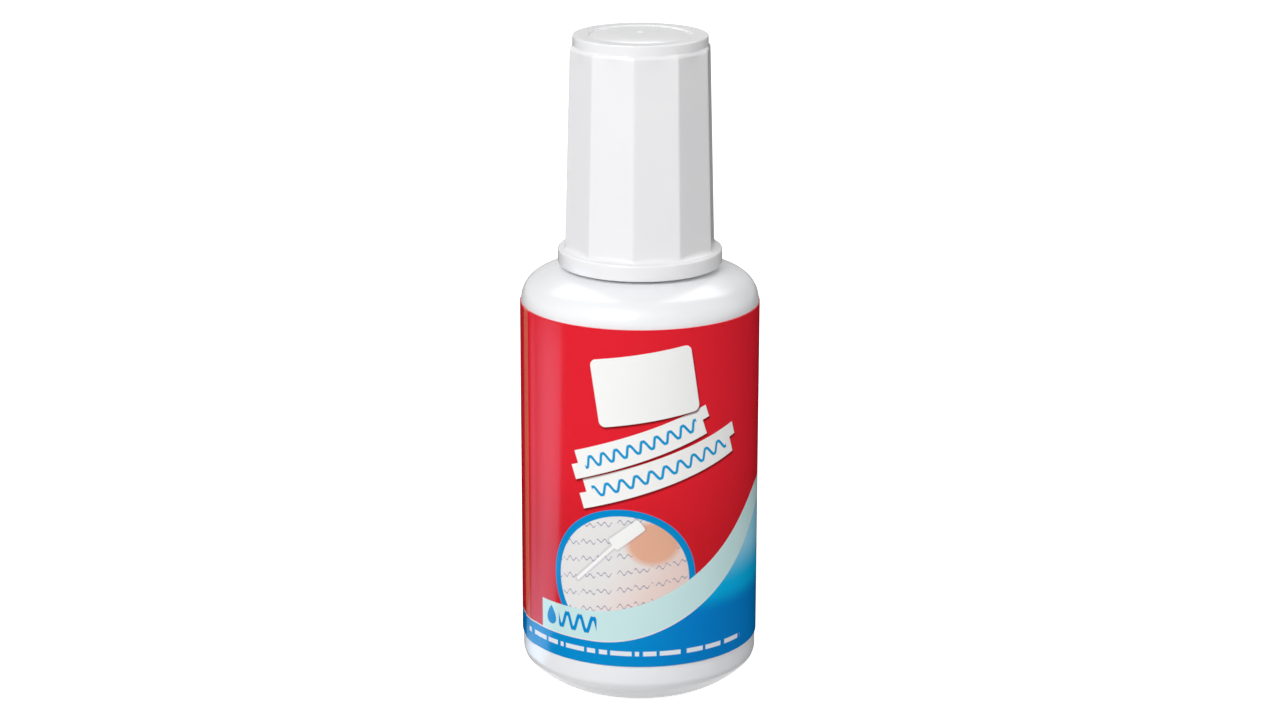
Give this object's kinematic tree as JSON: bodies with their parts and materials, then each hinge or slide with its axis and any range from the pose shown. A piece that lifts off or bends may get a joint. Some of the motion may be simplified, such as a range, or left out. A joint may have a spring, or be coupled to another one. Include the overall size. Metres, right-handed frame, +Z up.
{
  "type": "correction fluid bottle",
  "caption": "Small upright bottle of white correction fluid with a wrap-round label and a faceted screw cap that carries the brush.",
  "frame": {"origin": "on the bottle's axis, on the surface that its base stands on", "axes": "+Z up along the axis of the bottle, brush and cap; -Y towards the middle of the label's front"},
  "size_m": [0.0298, 0.0298, 0.0837],
  "materials": {
    "bottle_plastic": "satin white polyethylene",
    "label_film": "glossy printed film, red with blue and white fields",
    "wiper_plastic": "waxy natural polyethylene",
    "ball_steel": "polished steel",
    "white_fluid": "wet opaque white",
    "liner_foam": "fine-celled foam",
    "stem_plastic": "satin white polypropylene",
    "bristles": "nylon bristles wetted with white",
    "anchor_steel": "bare strip",
    "cap_plastic": "semi-gloss white polypropylene"
  },
  "bodies": {
    "bottle": {"bottle": "bottle_plastic", "label": "label_film", "neck_wiper": "wiper_plastic", "mixing_ball": "ball_steel", "correction_fluid": "white_fluid"},
    "liner": {"cap_liner": "liner_foam"},
    "applicator": {"applicator_stem": "stem_plastic", "brush_tuft": "bristles", "tuft_anchor": "anchor_steel"},
    "cap": {"cap": "cap_plastic"}
  },
  "joints": [
    {"name": "cap_lift_off", "type": "slide", "parent": "bottle", "child": "liner", "axis": [0, 0, 1], "range_m": [0, 0.068]},
    {"name": "thread_rise", "type": "slide", "parent": "liner", "child": "applicator", "axis": [0, 0, 1], "range_m": [0, 0.0045]},
    {"name": "cap_turn", "type": "hinge", "parent": "applicator", "child": "cap", "pos_m": [0, 0, 0.06], "axis": [0, 0, 1], "range_deg": [0, 540]}
  ],
  "couplings": [
    {"joint": "thread_rise", "follows": "cap_turn", "m_per_rad": 0.00047746}
  ]
}
